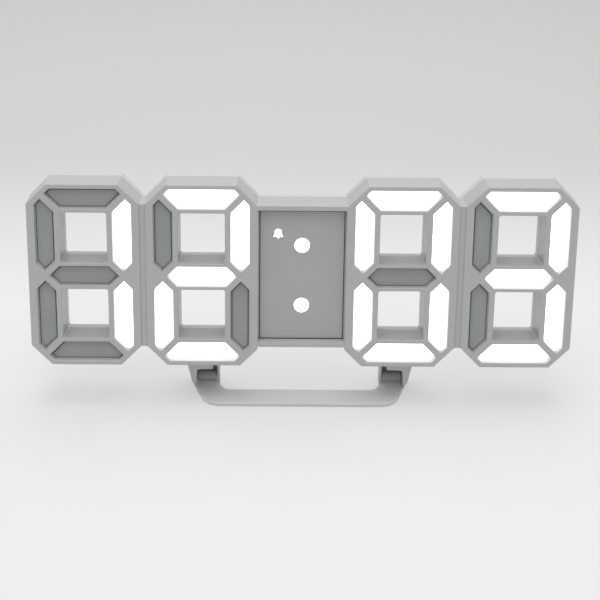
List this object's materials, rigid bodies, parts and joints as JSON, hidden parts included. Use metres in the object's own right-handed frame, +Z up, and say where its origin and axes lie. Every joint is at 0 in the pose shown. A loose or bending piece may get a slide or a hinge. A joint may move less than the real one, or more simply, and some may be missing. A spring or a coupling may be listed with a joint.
{
  "type": "led digital clock",
  "caption": "Desk clock made of open eight-shaped digits with lit segment windows, a centre panel with a colon, keys on the back and a U-shaped foot that folds down.",
  "frame": {"origin": "on the table under the middle of the clock, halfway between its frontmost and backmost points", "axes": "+X to the right as the display is read, +Y from the display to the back, +Z up from the table"},
  "size_m": [0.2472, 0.0368, 0.1039],
  "materials": {
    "case_plastic": "fine satin moulded surface, warm silver grey",
    "cover_plastic": "fine satin moulded surface, slightly darker grey",
    "lens_dark": "grey tinted light diffuser, unlit",
    "lens_lit": "light diffuser, lit white",
    "panel_plastic": "smooth satin",
    "board_laminate": "white solder mask on glass laminate",
    "key_plastic": "satin",
    "black_plastic": "satin black",
    "screw_steel": "plated",
    "foot_plastic": "satin, silver grey"
  },
  "bodies": {
    "case": {"front_shell": "case_plastic", "rear_cover": "cover_plastic", "digit_1_segment_a": "lens_dark", "digit_1_segment_b": "lens_lit", "digit_1_segment_c": "lens_lit", "digit_1_segment_d": "lens_dark", "digit_1_segment_e": "lens_dark", "digit_1_segment_f": "lens_dark", "digit_1_segment_g": "lens_dark", "digit_2_segment_a": "lens_lit", "digit_2_segment_b": "lens_lit", "digit_2_segment_c": "lens_dark", "digit_2_segment_d": "lens_lit", "digit_2_segment_e": "lens_lit", "digit_2_segment_f": "lens_dark", "digit_2_segment_g": "lens_lit", "digit_3_segment_a": "lens_lit", "digit_3_segment_b": "lens_lit", "digit_3_segment_c": "lens_lit", "digit_3_segment_d": "lens_lit", "digit_3_segment_e": "lens_lit", "digit_3_segment_f": "lens_lit", "digit_3_segment_g": "lens_dark", "digit_4_segment_a": "lens_lit", "digit_4_segment_b": "lens_lit", "digit_4_segment_c": "lens_lit", "digit_4_segment_d": "lens_lit", "digit_4_segment_e": "lens_dark", "digit_4_segment_f": "lens_dark", "digit_4_segment_g": "lens_lit", "centre_panel": "panel_plastic", "colon_lens_upper": "lens_lit", "colon_lens_lower": "lens_lit", "alarm_sign_lens": "lens_lit", "light_board": "board_laminate", "key_switch_left": "black_plastic", "key_switch_middle": "black_plastic", "key_switch_right": "black_plastic", "alarm_sounder": "black_plastic", "power_inlet": "black_plastic", "cover_screw_1": "screw_steel", "cover_screw_2": "screw_steel", "cover_screw_3": "screw_steel", "cover_screw_4": "screw_steel", "cover_screw_5": "screw_steel", "cover_screw_6": "screw_steel", "hinge_pin_right": "screw_steel", "hinge_pin_left": "screw_steel"},
    "foot": {"stand_foot": "foot_plastic"},
    "key_left": {"key_cap_left": "key_plastic"},
    "key_middle": {"key_cap_middle": "key_plastic"},
    "key_right": {"key_cap_right": "key_plastic"}
  },
  "joints": [
    {"name": "foot_hinge", "type": "hinge", "parent": "case", "child": "foot", "pos_m": [0, 0.00418, 0.0034], "axis": [1, 0, 0], "range_deg": [0, 90]},
    {"name": "key_left_press", "type": "slide", "parent": "case", "child": "key_left", "axis": [0, -0.9848, 0.1736], "range_m": [0, 0.0005], "stiffness_N_per_m": 2000, "springref_m": -0.0002},
    {"name": "key_middle_press", "type": "slide", "parent": "case", "child": "key_middle", "axis": [0, -0.9848, 0.1736], "range_m": [0, 0.0005], "stiffness_N_per_m": 2000, "springref_m": -0.0002},
    {"name": "key_right_press", "type": "slide", "parent": "case", "child": "key_right", "axis": [0, -0.9848, 0.1736], "range_m": [0, 0.0005], "stiffness_N_per_m": 2000, "springref_m": -0.0002}
  ]
}
